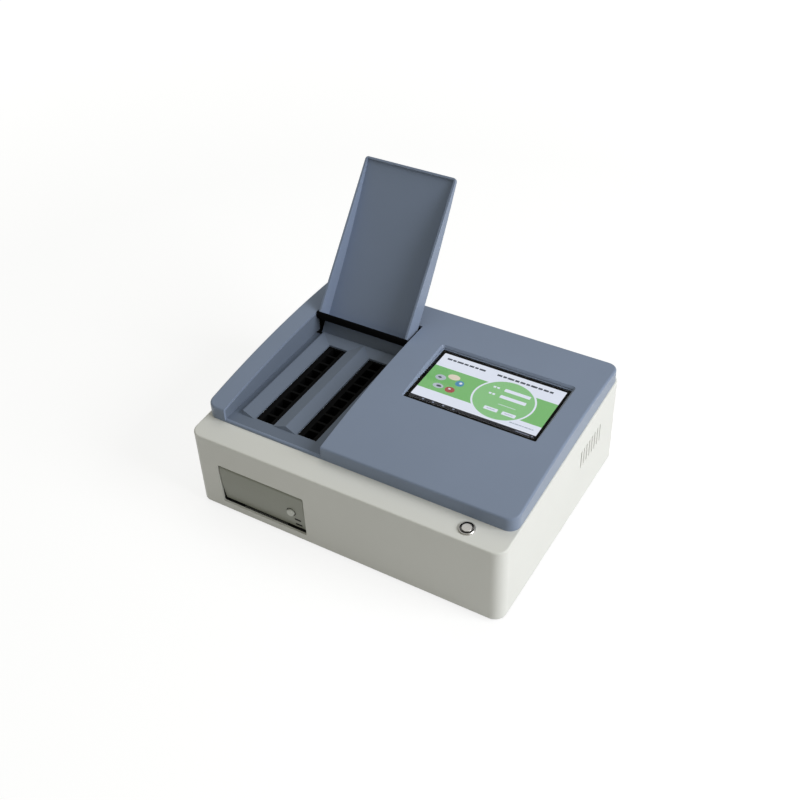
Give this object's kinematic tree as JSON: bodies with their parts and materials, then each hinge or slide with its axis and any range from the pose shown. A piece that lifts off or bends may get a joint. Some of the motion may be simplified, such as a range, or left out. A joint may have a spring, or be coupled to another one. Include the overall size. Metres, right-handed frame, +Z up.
{
  "type": "food residue tester",
  "caption": "Bench-top photometric tester: moulded case with rows of cuvette wells under a hinged lid, a touch screen, a push button and a receipt printer behind a hinged door.",
  "frame": {"origin": "on the bench, under the middle of the whole object with its lid open", "axes": "+X to the operator's right, +Y to the back, +Z up"},
  "size_m": [0.4, 0.3611, 0.2971],
  "materials": {
    "case": "fine moulded texture",
    "plate": "zinc grey",
    "tray": "fine moulded texture",
    "posts": "turned",
    "connectors": "natural",
    "button_metal": "polished ring",
    "nut": "plated",
    "bracket": "zinc grey",
    "display": "lit page",
    "door_button": "moulded",
    "lights": "dark lens",
    "fan": "moulded",
    "guard": "bright wire",
    "screws": "plated",
    "pins": "ground",
    "trough": "moulded",
    "contacts": "plated",
    "boards": "solder mask",
    "lamps": "clear lens",
    "blocks": "black anodised",
    "lid": "fine moulded texture",
    "sensors": "dark lens",
    "black_plastic": "moulded",
    "rocker": "moulded",
    "spacers": "natural",
    "paper": "smooth",
    "spindle": "moulded",
    "platen": "ground",
    "port_sheet": "brushed",
    "supply": "folded sheet",
    "head": "machined",
    "door": "fine moulded texture",
    "printer": "moulded",
    "heatsink": "black anodised",
    "rear_sheet": "powder coat",
    "core": "kraft",
    "feet": "matt",
    "gasket": "matt",
    "tear_bar": "stamped",
    "cover": "fine moulded texture",
    "glass": "polished",
    "ports": "bright"
  },
  "bodies": {
    "case": {"base_case": "case", "base_plate": "plate", "bay_tray": "tray", "block_posts": "posts", "board_connectors": "connectors", "board_screws": "screws", "board_standoffs": "posts", "button_body": "button_metal", "button_nut": "nut", "cover_screws": "screws", "display_bracket": "bracket", "display_panel": "display", "display_screws": "screws", "door_hinge_pins": "pins", "fan_frame": "fan", "fan_guard": "guard", "foot_screws": "screws", "hinge_pins": "pins", "hinge_trough": "trough", "inlet_pins": "contacts", "lamp_boards": "boards", "lamps": "lamps", "left_cuvette_block": "blocks", "light_sensors": "sensors", "main_board": "boards", "mains_inlet": "black_plastic", "network_port": "ports", "optics_spacers": "spacers", "paper_spindle": "spindle", "plate_screws": "screws", "port_board": "boards", "port_plate": "port_sheet", "port_posts": "posts", "port_screws": "screws", "power_supply": "supply", "print_head": "head", "printer_housing": "printer", "processor_heatsink": "heatsink", "rear_panel": "rear_sheet", "rear_screws": "screws", "right_cuvette_block": "blocks", "rocker_housing": "black_plastic", "rubber_feet": "feet", "screen_gasket": "gasket", "sensor_boards": "boards", "tear_bar": "tear_bar", "top_cover": "cover", "touch_glass": "glass", "usb_ports": "ports"},
    "lid": {"lid": "lid"},
    "power_button": {"power_button": "button_metal"},
    "printer_door": {"printer_door": "door", "door_lights": "lights", "platen_shaft": "pins"},
    "door_button": {"door_button": "door_button"},
    "platen_roller": {"platen_roller": "platen"},
    "paper_roll": {"paper_roll": "paper", "roll_core": "core"},
    "fan_rotor": {"fan_rotor": "fan"},
    "mains_rocker": {"mains_rocker": "rocker"}
  },
  "joints": [
    {"name": "lid_hinge", "type": "hinge", "parent": "case", "child": "lid", "pos_m": [-0.1065, 0.0581, 0.13131], "axis": [1, 0, 0], "range_deg": [0, 128]},
    {"name": "power_button_slide", "type": "slide", "parent": "case", "child": "power_button", "axis": [0, 0.0503, -0.9987], "range_m": [0, 0.0015], "stiffness_N_per_m": 1500, "springref_m": -0.0006},
    {"name": "printer_door_hinge", "type": "hinge", "parent": "case", "child": "printer_door", "pos_m": [-0.106, -0.1753, 0.0672], "axis": [-1, 0, 0], "range_deg": [0, 80]},
    {"name": "door_button_slide", "type": "slide", "parent": "printer_door", "child": "door_button", "axis": [0, 1, 0], "range_m": [0, 0.002], "stiffness_N_per_m": 1000, "springref_m": -0.0006},
    {"name": "platen_spin", "type": "hinge", "parent": "printer_door", "child": "platen_roller", "pos_m": [-0.106, -0.1669, 0.0241], "axis": [1, 0, 0], "continuous": true},
    {"name": "paper_roll_spin", "type": "hinge", "parent": "case", "child": "paper_roll", "pos_m": [-0.106, -0.14341, 0.048], "axis": [1, 0, 0], "continuous": true},
    {"name": "fan_spin", "type": "hinge", "parent": "case", "child": "fan_rotor", "pos_m": [0.04, 0.11829, 0.0575], "axis": [0, 1, 0], "continuous": true},
    {"name": "mains_rocker_hinge", "type": "hinge", "parent": "case", "child": "mains_rocker", "pos_m": [0.112, 0.1271, 0.0395], "axis": [0, 0, -1], "range_deg": [0, 14]}
  ]
}
